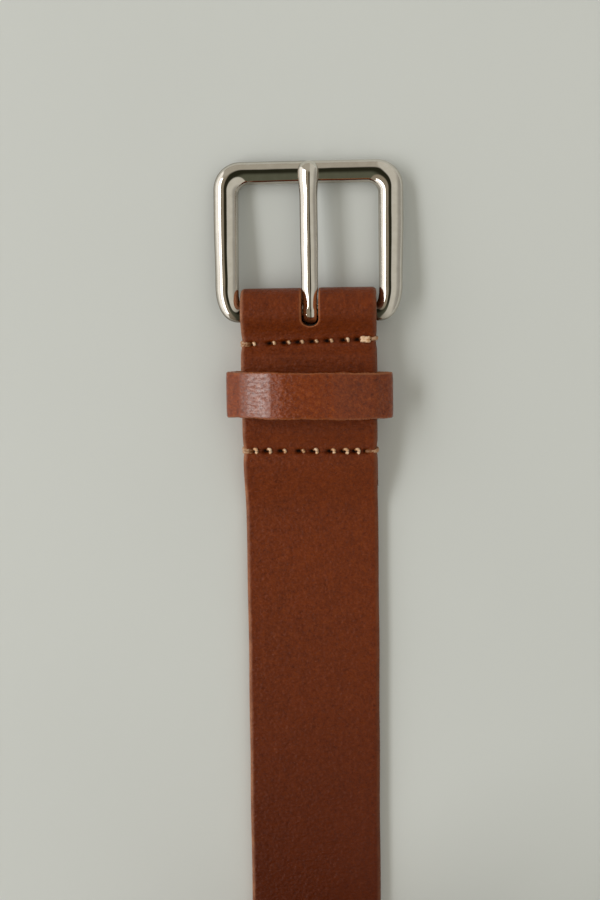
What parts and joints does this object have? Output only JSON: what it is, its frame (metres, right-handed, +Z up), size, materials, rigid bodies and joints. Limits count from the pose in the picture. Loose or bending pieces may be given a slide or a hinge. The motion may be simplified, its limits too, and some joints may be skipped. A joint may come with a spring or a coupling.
{
  "type": "leather belt",
  "caption": "Leather belt with a metal heel-bar buckle and a leather keeper between two rows of hand stitching, laid out buckle up with its free end rolled.",
  "frame": {"origin": "centre of the object's box at the surface it lies on", "axes": "+Z up out of the grain side, +Y along the strap towards the buckle, +X across the strap"},
  "size_m": [0.0534, 0.3128, 0.0895],
  "materials": {
    "strap_leather": "satin, fine grain",
    "keeper_leather": "satin, waxed",
    "buckle_metal": "polished nickel plate",
    "thread": "waxed linen"
  },
  "bodies": {
    "strap": {"strap": "strap_leather", "fold_stitching": "thread", "flap_stitching": "thread"},
    "buckle_frame": {"buckle_frame": "buckle_metal"},
    "tongue": {"tongue": "buckle_metal"},
    "keeper": {"keeper": "keeper_leather", "keeper_stitching": "thread"}
  },
  "joints": [
    {"name": "frame_hinge", "type": "hinge", "parent": "strap", "child": "buckle_frame", "pos_m": [0, 0.11435, 0.0058], "axis": [1, 0, 0], "range_deg": [0, 40]},
    {"name": "tongue_hinge", "type": "hinge", "parent": "buckle_frame", "child": "tongue", "pos_m": [0, 0.11435, 0.0058], "axis": [1, 0, 0], "range_deg": [0, 50]},
    {"name": "keeper_slide", "type": "slide", "parent": "strap", "child": "keeper", "axis": [0, 1, 0], "range_m": [-0.003, 0.003]}
  ]
}
